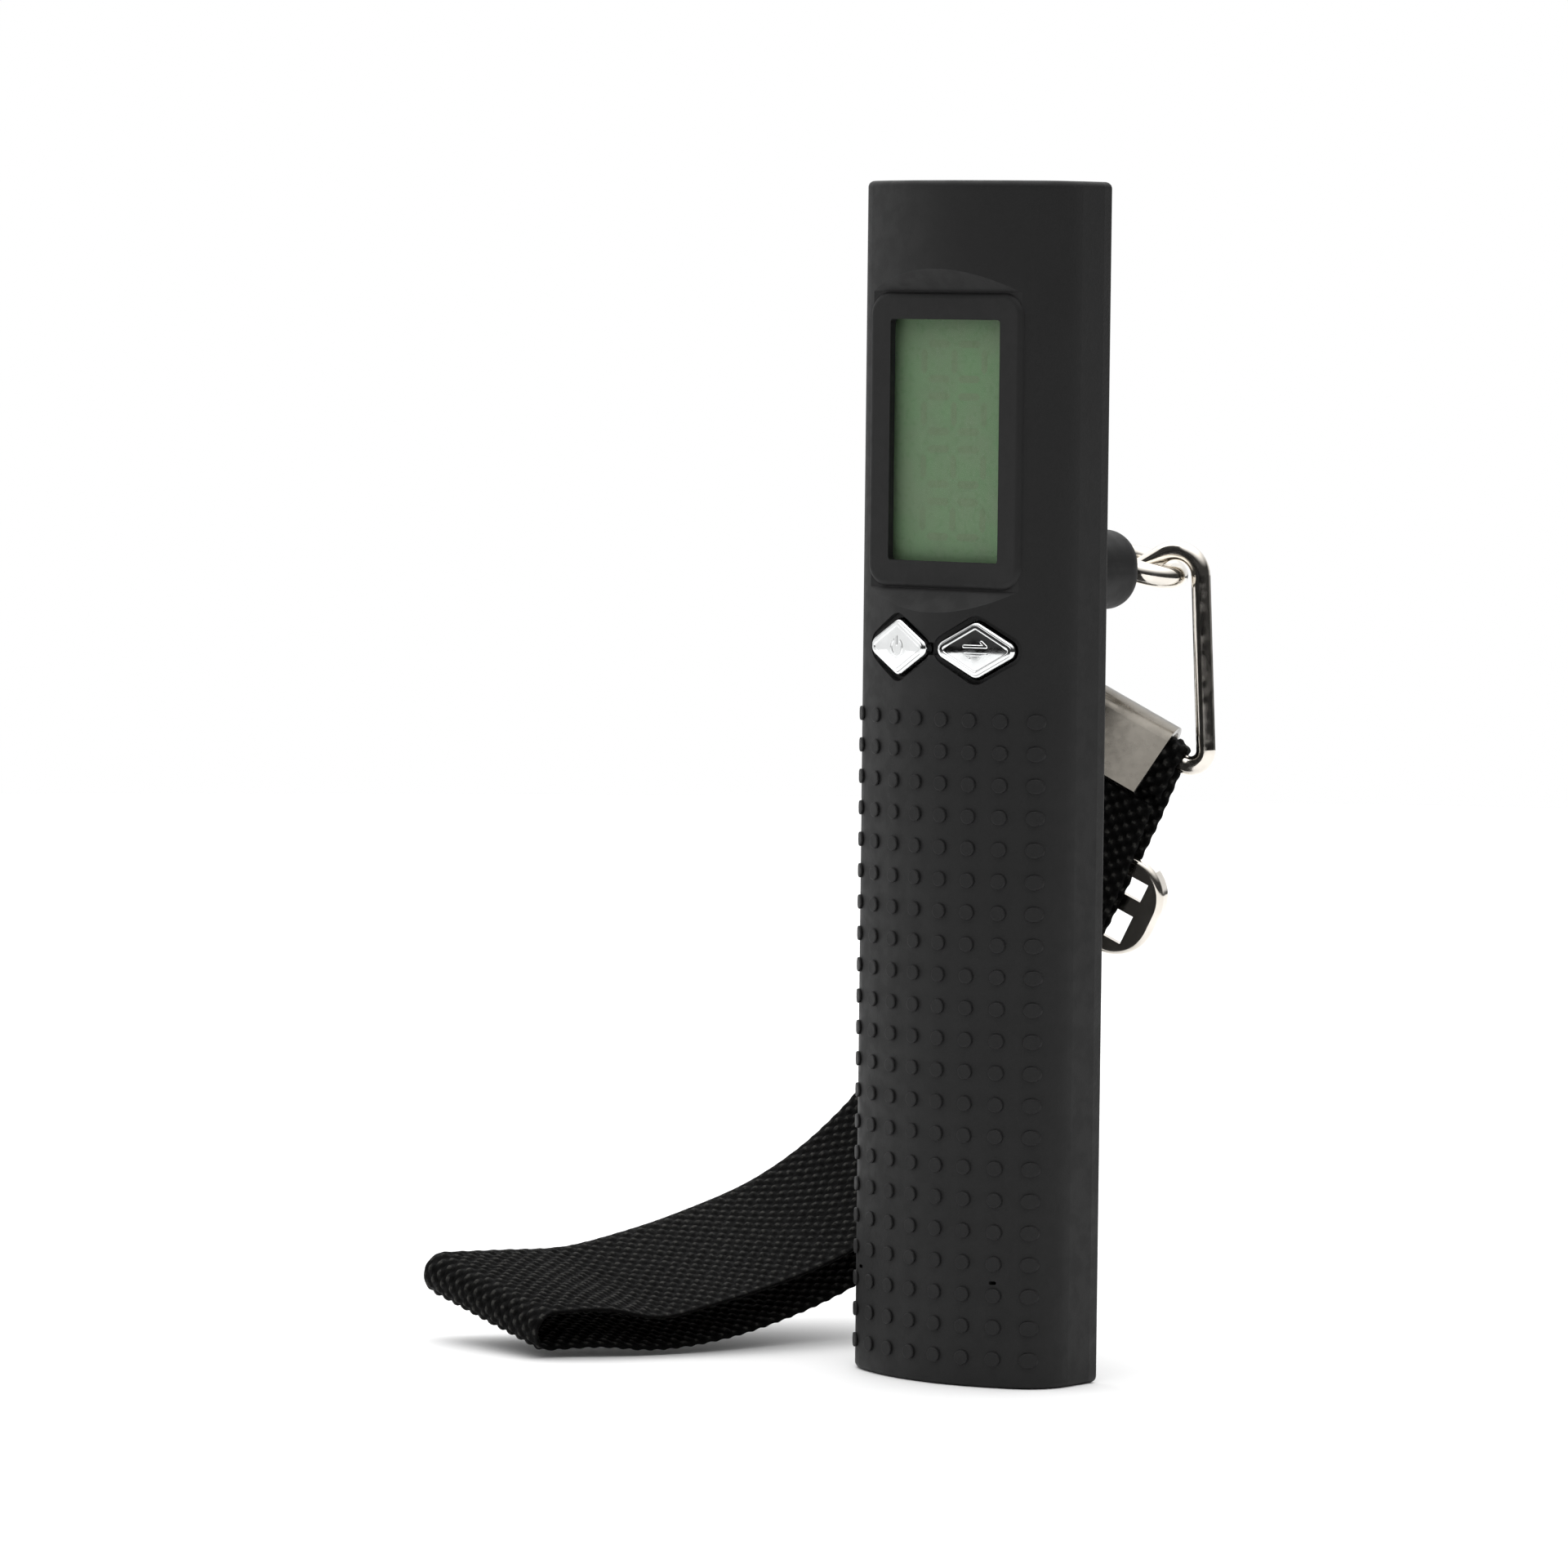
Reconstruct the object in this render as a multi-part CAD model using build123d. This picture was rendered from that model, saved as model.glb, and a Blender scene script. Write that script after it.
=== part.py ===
"""Digital luggage scale with a strap: a hand-held body, a swivel eye, a wire ring and a webbing strap.

The body stands on its lower end. +Z runs up the body, the display faces -Y and the strap hangs at +Y.
The origin is the centre of the body's lower end. Lengths are in millimetres, angles in degrees.
"""
from build123d import *
import math
import os

# ---- body -------------------------------------------------------------------------------------
body_height = 151.0
body_width = 32.5
body_depth = 15.4
front_radius = 26.8          # the arched front
shoulder_radius = 6.85       # between the arch and the straight sides
back_corner_radius = 0.5
end_radius = 0.8             # rounding of the upper and lower end
wall = 1.6
end_wall = 2.0
cover_thickness = 1.8
lip_thickness = 1.0
lip_depth = 2.2
lip_gap = 0.12

# ---- display ----------------------------------------------------------------------------------
bezel_width = 24.4
bezel_height = 37.2
bezel_centre_z = 118.5
bezel_drop = 2.3             # the bezel's face lies this far below the crest of the arch
bezel_corner = 3.0
bezel_edge = 0.8
scoop_drop = 0.45            # the scoop's floor lies this far below the bezel's face
block_margin = 2.4           # of the thick wall behind the bezel, past its ends
window_width = 17.5
window_height = 30.3
window_depth = 1.0
lens_margin = 1.0
lens_thickness = 0.9
lens_gap = 0.1
panel_width = 21.0
panel_height = 34.0
panel_thickness = 1.8
holder_wall = 0.9
holder_depth = 2.2

# ---- buttons ----------------------------------------------------------------------------------
button_width = 10.6
button_height = 7.1
button_corner = 1.25
button_x = 6.15
button_shift = 0.5           # of the pair, to the right of the middle
button_z = 92.5
button_proud = 0.1
button_gap = 0.2
button_travel = 0.6
button_edge = 0.5
recess_margin = 0.75
recess_depth = 0.8
bridge_width = 2.6           # the recess between the two buttons
bridge_height = 1.6
cap_depth = 1.7              # the cap's full outline goes this deep, then a narrower stalk
stalk_inset = 0.8
flange_margin = 0.8
flange_half_width = 5.0
flange_depth = 2.75          # from the body's surface to the flange's outer face
flange_thickness = 0.8
nub_radius = 1.2
nub_length = 0.4

# ---- grip dots --------------------------------------------------------------------------------
dot_columns = 8
dot_rows = 21
dot_pitch = 4.0
dot_first_z = 3.7
dot_radius = 0.92
dot_height = 0.36
dot_round = 0.14
pin_hole_x = (-12.4, 9.8)
pin_hole_z = 13.3
pin_hole_width = 0.9
pin_hole_height = 0.45

# ---- circuit board ----------------------------------------------------------------------------
board_width = 26.0
board_height = 58.0
board_thickness = 1.0
board_centre_z = 112.5
board_screw_x = 10.6
board_screw_z = (86.0, 139.4)
board_post_radius = 1.9
zebra_width = 18.0
zebra_height = 2.0
zebra_inset = 1.2
switch_radius = 1.2
switch_base = 4.6
chip_width = 9.0
chip_height = 9.0
chip_z = 124.0
chip_thickness = 0.8
buzzer_radius = 5.0
buzzer_thickness = 2.4
buzzer_z = 136.0

# ---- load cell --------------------------------------------------------------------------------
cell_width = 11.0
cell_thickness = 3.4
cell_bottom_z = 55.0
cell_top_z = 107.0
cell_back_gap = 0.45         # between the cell's back and the cover
cell_slot_z = 83.0
cell_slot_radius = 3.2
cell_slot_length = 16.0
cell_screw_z = (59.5, 67.5)
cell_screw_radius = 1.5
gauge_width = 1.4
gauge_height = 7.0
gauge_thickness = 0.2

# ---- neck and swivel eye ----------------------------------------------------------------------
eye_z = 101.9
neck_width = 16.0
neck_height = 10.2
neck_length = 18.5
neck_corner = 4.6
neck_end_round = 2.4
neck_flange = 1.3
neck_flange_thickness = 1.0
stem_radius = 2.0
stem_gap = 0.08
eye_wire = 3.0
eye_ring_radius = 4.25       # to the middle of the wire
eye_gap = 4.8                # from the neck's end to the eye's outer edge
eye_roll = 18.0
nut_radius = 3.4
nut_thickness = 1.0
washer_radius = 4.0
washer_thickness = 0.3
washer_gap = 0.05

# ---- wire ring --------------------------------------------------------------------------------
ring_wire = 2.5
ring_turn = 24.0             # of the ring's plane, from the XZ plane
ring_lean = 2.5              # of the right-hand leg, from the vertical
ring_side = 31.8             # between the sharp corners of the wire's middle line
ring_base = 32.3
ring_top_play = 0.6
ring_corner = 2.0

# ---- battery bay ------------------------------------------------------------------------------
bay_z = 30.0
door_width = 25.0
door_height = 25.0
door_corner = 2.0
door_gap = 0.2
door_thickness = 1.2
bay_wall = 1.0
bay_floor = 1.0
cell_radius = 10.0
cell_height = 3.2
battery_play = 0.15
contact_thickness = 0.3
lead_radius = 0.45
lead_bend = 1.2
lead_x = 9.2
lead_y = -1.6                # the leads' long run
lead_end_y = -0.9
lead_low_z = 38.0
lead_gap = 1.0               # below the board

# ---- screws -----------------------------------------------------------------------------------
case_screw_x = 10.4
case_screw_z = (6.0, 145.0)
case_screw_radius = 1.1
case_head_radius = 2.0
case_head_height = 1.1
case_post_radius = 2.4

# ---- strap ------------------------------------------------------------------------------------
strap_width = 25.0
strap_thickness = 1.3
loop_play = 0.2
# Middle of the folded strap, from the slider down to the fold: place, direction across and layer gap.
strap_stations = [
    ((-9.3, 33.1, 72.5), (-0.815, -0.363, 0.452), 3.4),
    ((-14.0, 32.2, 63.2), (-0.815, -0.363, 0.452), 3.4),
    ((-18.7, 31.3, 53.9), (-0.815, -0.363, 0.452), 3.4),
    ((-21.6, 31.2, 46.6), (-0.85, -0.22, 0.45), 3.4),
    ((-24.4, 31.4, 38.5), (-0.88, -0.02, 0.42), 3.6),
    ((-28.2, 30.2, 29.8), (-0.90, 0.17, 0.37), 3.9),
    ((-33.6, 25.2, 20.8), (-0.89, 0.30, 0.33), 4.3),
    ((-39.4, 16.4, 13.4), (-0.88, 0.34, 0.31), 4.6),
    ((-43.6, 6.6, 9.5), (-0.89, 0.33, 0.29), 4.7),
    ((-46.6, -2.2, 7.4), (-0.91, 0.30, 0.27), 4.7),
    ((-50.2, -10.0, 6.5), (-0.93, 0.26, 0.24), 4.7),
    ((-54.2, -17.0, 6.3), (-0.95, 0.22, 0.22), 4.7),
    ((-57.6, -22.0, 6.2), (-0.96, 0.18, 0.21), 4.7),
]
slider_station = 1
front_layer_drop = 7.4       # where the front layer starts: below the bar and in front of it
front_layer_lead = 7.0
loop_end = 5.0               # how far the loop's stitched end reaches below the bar
slider_width = 34.0
slider_height = 13.6
slider_corner = 5.6
slider_rim = 2.4
slider_bar = 2.2
slider_round = 0.9
slider_metal = 1.0
slider_play = 0.2
slider_end = 3.0
slider_shift = 1.1           # of the slider along its length, against the webbing
hook_width = 20.0
hook_metal = 0.8
hook_play = 0.3
hook_leg = 8.5
hook_wrap = 122.0            # how far the hook's roll goes round the strap, past its leg
hook_angle = 38.0            # between the hook's leg and the strap

# ---- places that follow from the sizes above --------------------------------------------------
front_y = -body_depth / 2
back_y = body_depth / 2
seam_y = back_y - cover_thickness
arch_centre_y = front_y + front_radius
bezel_y = front_y + bezel_drop
lens_front_y = bezel_y + window_depth
panel_front_y = lens_front_y + lens_thickness + lens_gap
panel_back_y = panel_front_y + panel_thickness
board_front_y = panel_back_y + 0.85
board_back_y = board_front_y + board_thickness
cell_back_y = seam_y - cell_back_gap
cell_front_y = cell_back_y - cell_thickness
neck_end_y = back_y + neck_length
eye_centre_y = neck_end_y + eye_gap + eye_ring_radius + eye_wire / 2
ring_bend = eye_wire / 2 + ring_wire / 2 + ring_top_play


def box_between(low, high):
    """A box between two corners."""
    size = [b - a for a, b in zip(low, high)]
    middle = [(a + b) / 2 for a, b in zip(low, high)]
    return Pos(*middle) * Box(*size)


def body_outline(grow=0.0):
    """The body seen from above: arched front, straight sides and a flat back."""
    shape = Rectangle(body_width, body_depth) & Pos(0, arch_centre_y) * Circle(front_radius)
    rows = shape.vertices().group_by(Axis.Y)
    shape = fillet(rows[0], shoulder_radius)
    shape = fillet(shape.vertices().group_by(Axis.Y)[-1], back_corner_radius)
    return offset(shape, grow) if grow else shape


def body_solid():
    """The whole outside of the body, with both ends rounded."""
    solid = extrude(body_outline(), body_height)
    ends = solid.faces().sort_by(Axis.Z)
    return fillet(ends[0].edges() + ends[-1].edges(), end_radius)


def behind(y):
    """Everything behind the plane y."""
    return box_between((-body_width, y, -1), (body_width, body_depth * 3, body_height + 1))


def across_y(shape, start, end):
    """A flat shape in the XZ plane made solid from y = start to y = end."""
    return extrude(Plane(origin=(0, start, 0), x_dir=(1, 0, 0), z_dir=(0, -1, 0)) * shape, start - end)


def rounded(width, height, radius, z, x=0.0):
    """A rounded rectangle for across_y, centred at x, z."""
    return Pos(x, z) * RectangleRounded(width, height, radius)


def surface_y(x):
    """The arch's height over the middle of the body."""
    return arch_centre_y - math.sqrt(front_radius ** 2 - x ** 2)


# ---- buttons ----------------------------------------------------------------------------------
def button_plane(side):
    """The plane that touches the arch at a button, facing out."""
    x = button_shift + side * button_x
    lean = math.asin(x / front_radius)
    return Plane(origin=(x, surface_y(x), button_z), x_dir=(math.cos(lean), math.sin(lean), 0),
                 z_dir=(math.sin(lean), -math.cos(lean), 0))


def diamond(grow=0.0):
    """A button's outline: a diamond with round corners."""
    a = button_width / 2 - button_corner
    b = button_height / 2 - button_corner
    return offset(Polygon((-a, 0), (0, -b), (a, 0), (0, b)), button_corner + grow)


def sunk(plane, shape, top, bottom):
    """A shape on a plane made solid from one height over it to another, lower one."""
    return plane * (Pos(0, 0, bottom) * extrude(shape, top - bottom))


def button(side):
    """A cap through the housing, its flange inside and the nub that meets the switch."""
    cap = Pos(0, 0, flange_depth - cap_depth) * extrude(diamond(), button_proud + cap_depth)
    cap = fillet(cap.faces().sort_by(Axis.Z)[-1].edges(), button_edge)
    cap += extrude(diamond(-stalk_inset), flange_depth)
    reach = Rectangle(2 * flange_half_width, button_height * 2)
    flange = Pos(0, 0, -flange_thickness) * extrude(diamond(flange_margin) & reach, flange_thickness)
    nub = Pos(0, 0, -flange_thickness - nub_length / 2) * Cylinder(nub_radius, nub_length)
    return button_plane(side) * (Pos(0, 0, -flange_depth) * (cap + flange + nub))


# ---- housing ----------------------------------------------------------------------------------
def dot(x):
    """One grip dot at height 0, its top following the arch."""
    peg = across_y(Pos(x, 0) * Circle(dot_radius), surface_y(min(abs(x), body_width / 2 - 2)) + 0.9,
                   front_y - 2)
    outside = Pos(0, 0, -3) * extrude(body_outline(dot_height), 6)
    peg = peg & outside
    return fillet(peg.faces().sort_by(Axis.Y)[0].edges(), dot_round)


def grip_dots():
    """The dots of the grip, in rows and columns."""
    dots = []
    for column in range(dot_columns):
        peg = dot((column - (dot_columns - 1) / 2) * dot_pitch)
        for row in range(dot_rows):
            dots.append(Pos(0, 0, dot_first_z + row * dot_pitch) * peg)
    return dots


def screw_places(half_width, heights):
    """Both sides at each height."""
    return [(side * half_width, z) for side in (-1, 1) for z in heights]


def front_housing():
    """The front shell with its bezel, button holes, posts and grip dots."""
    body = body_solid()
    low_z = bezel_centre_z - bezel_height / 2
    high_z = bezel_centre_z + bezel_height / 2
    cavity = Pos(0, 0, end_wall) * extrude(body_outline(-wall), body_height - 2 * end_wall)
    window_back = bezel_y + wall
    cavity -= box_between((-body_width, front_y - 1, low_z - block_margin),
                        (body_width, window_back, high_z + block_margin))
    shell = body - cavity - behind(seam_y)
    floor_y = bezel_y + scoop_drop
    rise = floor_y - front_y + 1
    slope = rise * 1.05
    with_slopes = Plane.YZ * Polygon((floor_y, low_z), (floor_y, high_z), (floor_y - rise, high_z + slope),
                                     (floor_y - rise, low_z - slope), align=None)
    shell -= extrude(with_slopes, bezel_width / 2, both=True)
    pad = across_y(rounded(bezel_width, bezel_height, bezel_corner, bezel_centre_z), window_back, bezel_y)
    shell += fillet(pad.faces().sort_by(Axis.Y)[0].edges(), bezel_edge)
    shell -= across_y(rounded(window_width, window_height, 0.4, bezel_centre_z), back_y, front_y - 1)
    lens_room = lens_margin + lens_gap
    shell -= across_y(rounded(window_width + 2 * lens_room, window_height + 2 * lens_room, 0.8,
                              bezel_centre_z), back_y, lens_front_y)
    for side in (-1, 1):
        plane = button_plane(side)
        shell -= sunk(plane, diamond(recess_margin), 2, -recess_depth)
        shell -= sunk(plane, diamond(button_gap), 2, -wall - 2)
    shell -= Pos(button_shift, front_y, button_z) * Box(bridge_width, 2 * recess_depth, bridge_height)
    posts = []
    for x, z in screw_places(board_screw_x, board_screw_z):
        posts.append(across_y(Pos(x, z) * Circle(board_post_radius), board_front_y, front_y + wall / 2))
    for x, z in screw_places(case_screw_x, case_screw_z):
        posts.append(across_y(Pos(x, z) * Circle(case_post_radius), seam_y - lip_gap, front_y + wall / 2))
    inside = Pos(0, 0, end_wall / 2) * extrude(body_outline(-wall / 2), body_height - end_wall)
    for post in posts:
        shell += post & inside
    for x, z in screw_places(board_screw_x, board_screw_z):
        shell -= across_y(Pos(x, z) * Circle(0.7), board_front_y + 1, board_front_y - 2.4)
    for x, z in screw_places(case_screw_x, case_screw_z):
        shell -= across_y(Pos(x, z) * Circle(case_screw_radius), seam_y + 1, seam_y - 5.5)
    for x in pin_hole_x:
        shell -= across_y(rounded(pin_hole_width, pin_hole_height, 0.2, pin_hole_z, x),
                          0, front_y - 1)
    shell = shell.fuse(*grip_dots())
    return shell.clean()


def back_cover():
    """The flat back with its lip, neck hole, load cell seats and battery bay."""
    cover = body_solid() & behind(seam_y)
    outer = Pos(0, 0, end_wall + lip_gap) * extrude(body_outline(-wall - lip_gap),
                                                    body_height - 2 * (end_wall + lip_gap))
    step = end_wall + lip_gap + lip_thickness
    inner_width = body_width - 2 * (wall + lip_gap + lip_thickness)
    inner = box_between((-inner_width / 2, seam_y - lip_depth - 1, step),
                      (inner_width / 2, back_y, body_height - step))
    lip = (outer - inner) & (behind(seam_y - lip_depth) - behind(seam_y))
    cover += lip
    hole = rounded(neck_width + 0.1, neck_height + 0.1, neck_corner, eye_z)
    cover -= across_y(hole, back_y + 1, seam_y - 1)
    seat = rounded(neck_width + 2 * neck_flange + 0.1, neck_height + 2 * neck_flange + 0.1,
                   neck_corner + neck_flange, eye_z)
    cover -= across_y(seat, seam_y + neck_flange_thickness, seam_y - 1)
    for z in cell_screw_z:
        cover += across_y(Pos(0, z) * Circle(3.0), seam_y + 0.2, cell_back_y)
        cover -= across_y(Pos(0, z) * Circle(1.1), back_y - 0.6, cell_back_y - 1)
    for x, z in screw_places(case_screw_x, case_screw_z):
        cover -= across_y(Pos(x, z) * Circle(case_post_radius + 0.2), seam_y - 0.01, seam_y - lip_depth - 1)
        cover -= across_y(Pos(x, z) * Circle(case_screw_radius + 0.1), back_y + 1, seam_y - 1)
        cover -= across_y(Pos(x, z) * Circle(case_head_radius + 0.1), back_y + 1, back_y - case_head_height)
    tub_back = seam_y + 0.2
    tub_width = door_width - 2
    bay_y = back_y - door_thickness - cell_height - contact_thickness - 0.2
    tub = across_y(rounded(tub_width + 2 * bay_wall, tub_width + 2 * bay_wall, 2.5, bay_z), tub_back,
                   bay_y - bay_floor)
    cover += tub
    cover -= across_y(rounded(tub_width, tub_width, 1.5, bay_z), back_y + 1, bay_y)
    cover -= across_y(rounded(door_width + 2 * door_gap, door_height + 2 * door_gap, door_corner, bay_z),
                      back_y + 1, back_y - door_thickness)
    return cover


def battery_door():
    """The snap-in door over the coin cell, with grip ribs."""
    door = across_y(rounded(door_width, door_height, door_corner - door_gap, bay_z), back_y,
                    back_y - door_thickness)
    for step in range(4):
        rib_z = bay_z + door_height / 2 - 3.0 - 1.6 * step
        door -= across_y(rounded(9, 0.7, 0.3, rib_z), back_y + 1, back_y - 0.3)
    return door


# ---- inside -----------------------------------------------------------------------------------
def lcd_lens():
    """The clear window behind the bezel."""
    return across_y(rounded(window_width + 2 * lens_margin, window_height + 2 * lens_margin, 0.7,
                            bezel_centre_z), lens_front_y + lens_thickness, lens_front_y)


def lcd_panel():
    """The display glass."""
    return across_y(rounded(panel_width, panel_height, 0.3, bezel_centre_z), panel_back_y, panel_front_y)


def lcd_holder():
    """The frame that holds the display on the board."""
    outer = rounded(panel_width + 0.2 + 2 * holder_wall, panel_height + 0.2 + 2 * holder_wall, 1.0,
                    bezel_centre_z)
    inner = rounded(panel_width + 0.2, panel_height + 0.2, 0.4, bezel_centre_z)
    frame = across_y(outer, board_front_y, board_front_y - holder_depth)
    return frame - across_y(inner, board_front_y + 1, board_front_y - holder_depth - 1)


def zebra_strips():
    """The rubber connectors between the display's two ends and the board."""
    strips = []
    for side in (-1, 1):
        z = bezel_centre_z + side * (panel_height / 2 - zebra_inset)
        strips.append(across_y(rounded(zebra_width, zebra_height, 0.2, z), board_front_y, panel_back_y))
    return strips


def main_board():
    """The circuit board with its screw holes."""
    board = across_y(rounded(board_width, board_height, 1.0, board_centre_z), board_back_y, board_front_y)
    for x, z in screw_places(board_screw_x, board_screw_z):
        board -= across_y(Pos(x, z) * Circle(0.9), board_back_y + 1, board_front_y - 1)
    return board


def board_screws():
    """Four small screws that hold the board on its posts."""
    screws = []
    for x, z in screw_places(board_screw_x, board_screw_z):
        head = across_y(Pos(x, z) * Circle(1.7), board_back_y + 0.8, board_back_y)
        head -= across_y(Pos(x, z) * (Rectangle(2.0, 0.4) + Rectangle(0.4, 2.0)), board_back_y + 1,
                         board_back_y + 0.4)
        screws.append(head + across_y(Pos(x, z) * Circle(0.7), board_back_y, board_front_y - 2.0))
    return screws


def tact_switches():
    """The two switches under the buttons."""
    switches = []
    for side in (-1, 1):
        place = Pos(button_shift + side * button_x, button_z)
        base = across_y(place * RectangleRounded(switch_base, switch_base, 0.3), board_front_y,
                        board_front_y - 0.6)
        dome = across_y(place * Circle(switch_radius), board_front_y, board_front_y - 1.1)
        switches.append(base + dome)
    return switches


def controller_chip():
    """The blob-bonded controller on the back of the board."""
    chip = across_y(rounded(chip_width, chip_height, 1.6, chip_z), board_back_y + chip_thickness,
                    board_back_y)
    return fillet(chip.faces().sort_by(Axis.Y)[-1].edges(), 0.4)


def buzzer():
    """The flat beeper on the back of the board."""
    return across_y(Pos(0, buzzer_z) * Circle(buzzer_radius), board_back_y + buzzer_thickness, board_back_y)


def load_cell():
    """The bending beam: screwed down at its lower end, pulled by the eye at its upper end."""
    middle = (cell_bottom_z + cell_top_z) / 2
    beam = across_y(rounded(cell_width, cell_top_z - cell_bottom_z, 1.0, middle), cell_back_y, cell_front_y)
    slot = Pos(0, cell_slot_z) * SlotCenterToCenter(cell_slot_length - 2 * cell_slot_radius,
                                                    2 * cell_slot_radius, rotation=90)
    beam -= across_y(slot, cell_back_y + 1, cell_front_y - 1)
    for z in cell_screw_z:
        beam -= across_y(Pos(0, z) * Circle(cell_screw_radius + 0.1), cell_back_y + 1, cell_front_y - 1)
    return beam - across_y(Pos(0, eye_z) * Circle(stem_radius + stem_gap), cell_back_y + 1, cell_front_y - 1)


def strain_gauges():
    """The foil gauges on the beam's thin sides."""
    gauges = []
    for side in (-1, 1):
        x = side * (cell_width / 2 + cell_slot_radius) / 2
        gauges.append(across_y(Pos(x, cell_slot_z) * Rectangle(gauge_width, gauge_height), cell_front_y,
                               cell_front_y - gauge_thickness))
    return gauges


def load_cell_screws():
    """The two screws that hold the beam on the cover."""
    screws = []
    for z in cell_screw_z:
        head = across_y(Pos(0, z) * Circle(2.6), cell_front_y, cell_front_y - 1.4)
        head -= across_y(Pos(0, z) * RegularPolygon(1.3, 6), cell_front_y - 0.6, cell_front_y - 2)
        shank = across_y(Pos(0, z) * Circle(cell_screw_radius), cell_back_y, cell_front_y)
        tip = across_y(Pos(0, z) * Circle(1.1), back_y - 0.7, cell_back_y)
        screws.append(head + shank + tip)
    return screws


def case_screws():
    """The four screws through the cover's corners."""
    screws = []
    for x, z in screw_places(case_screw_x, case_screw_z):
        head = across_y(Pos(x, z) * Circle(case_head_radius), back_y - 0.1, back_y - case_head_height)
        head -= across_y(Pos(x, z) * (Rectangle(2.6, 0.5) + Rectangle(0.5, 2.6)), back_y, back_y - 0.7)
        shank = across_y(Pos(x, z) * Circle(case_screw_radius), back_y - case_head_height, seam_y - 5.0)
        screws.append(head + shank)
    return screws


def coin_cell():
    """The round battery in its bay."""
    back = back_y - door_thickness - battery_play
    can = across_y(Pos(0, bay_z) * Circle(cell_radius), back, back - cell_height + 0.4)
    base = across_y(Pos(0, bay_z) * Circle(cell_radius - 1.2), back, back - cell_height)
    return fillet(can.faces().sort_by(Axis.Y)[-1].edges(), 0.3) + base


def battery_contacts():
    """The leaf under the cell and the leaf at its side."""
    floor_y = back_y - door_thickness - cell_height - contact_thickness - 0.2
    under = across_y(rounded(6, 14, 1.0, bay_z), floor_y + contact_thickness, floor_y)
    beside = across_y(rounded(contact_thickness, 5, 0.1, bay_z, cell_radius + 0.4 + contact_thickness / 2),
                      floor_y + cell_height, floor_y)
    return [under, beside]


def wire(points, radius):
    """A round wire through points, with arcs at its corners."""
    line = FilletPolyline(*points, radius=lead_bend)
    start = Plane(origin=line @ 0, z_dir=line % 0)
    return sweep(start * Circle(radius), path=line)


def battery_leads():
    """Two insulated wires from the bay's contacts up to the board."""
    leads = []
    for side in (-1, 1):
        x = side * lead_x
        leads.append(wire([(x, 0.2, lead_low_z), (x, lead_y, lead_low_z), (x, lead_y, lead_low_z + 18),
                           (x * 0.95, lead_end_y, board_centre_z - board_height / 2 - lead_gap)], lead_radius))
    return leads


# ---- swivel -----------------------------------------------------------------------------------
def neck():
    """The black sleeve on the back that the eye's stem turns in."""
    sleeve = across_y(rounded(neck_width, neck_height, neck_corner, eye_z), neck_end_y, seam_y)
    sleeve = fillet(sleeve.faces().sort_by(Axis.Y)[-1].edges(), neck_end_round)
    flange = across_y(rounded(neck_width + 2 * neck_flange, neck_height + 2 * neck_flange,
                              neck_corner + neck_flange, eye_z), seam_y + neck_flange_thickness, seam_y)
    bore = across_y(Pos(0, eye_z) * Circle(stem_radius + stem_gap), neck_end_y + 1, seam_y - 1)
    return sleeve + flange - bore


def swivel_eye():
    """A wire eye on a stem that runs through the neck and the load cell."""
    hub = Pos(0, eye_centre_y, eye_z) * Rot(0, eye_roll, 0)
    eye = hub * Torus(eye_ring_radius, eye_wire / 2)
    stem_end = cell_front_y - washer_thickness - washer_gap - nut_thickness
    reach = eye_centre_y - eye_ring_radius
    stem = across_y(Pos(0, eye_z) * Circle(stem_radius), neck_end_y + 1.4, stem_end)
    root = Plane(origin=(0, neck_end_y + 1.4, eye_z), x_dir=(1, 0, 0), z_dir=(0, 1, 0)) * Circle(stem_radius)
    tip = Plane(origin=(0, reach, eye_z), x_dir=(1, 0, 0), z_dir=(0, 1, 0)) * Circle(eye_wire / 2 - 0.1)
    return eye + stem + loft([root, tip])


def stem_nut():
    """The nut on the stem's inner end."""
    outer = cell_front_y - washer_thickness - washer_gap
    nut = across_y(Pos(0, eye_z) * RegularPolygon(nut_radius, 6), outer, outer - nut_thickness)
    return nut - across_y(Pos(0, eye_z) * Circle(stem_radius), outer + 1, outer - nut_thickness - 1)


def thrust_washer():
    """The washer between the nut and the load cell."""
    disc = across_y(Pos(0, eye_z) * Circle(washer_radius), cell_front_y, cell_front_y - washer_thickness)
    return disc - across_y(Pos(0, eye_z) * Circle(stem_radius + stem_gap), cell_front_y + 1,
                           cell_front_y - 2)


# ---- ring -------------------------------------------------------------------------------------
def link_point():
    """The middle of the eye's wire where the ring hangs."""
    turn = math.radians(ring_turn)
    roll = math.radians(eye_roll)
    along = eye_ring_radius * math.cos(turn)
    return Vector(along * math.cos(roll), eye_centre_y + eye_ring_radius * math.sin(turn),
                  eye_z - along * math.sin(roll))


def ring_plane():
    """The ring's own plane: x to the right, y up, seen from the body; its origin is the link point."""
    turn = math.radians(ring_turn)
    return Plane(origin=link_point(), x_dir=(math.cos(turn), math.sin(turn), 0),
                 z_dir=(math.sin(turn), -math.cos(turn), 0))


def ring_corners():
    """The sharp corners of the wire's middle line in the ring's plane: top, right and left."""
    apex = 2 * math.degrees(math.asin(ring_base / 2 / ring_side))
    right_leg = -90 + ring_lean
    left_leg = right_leg - apex
    axis = math.radians((right_leg + left_leg) / 2)
    away = ring_bend / math.sin(math.radians(apex / 2))
    top = (-away * math.cos(axis), -away * math.sin(axis))
    ends = []
    for leg in (right_leg, left_leg):
        ends.append((top[0] + ring_side * math.cos(math.radians(leg)),
                     top[1] + ring_side * math.sin(math.radians(leg))))
    return [top] + ends


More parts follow.
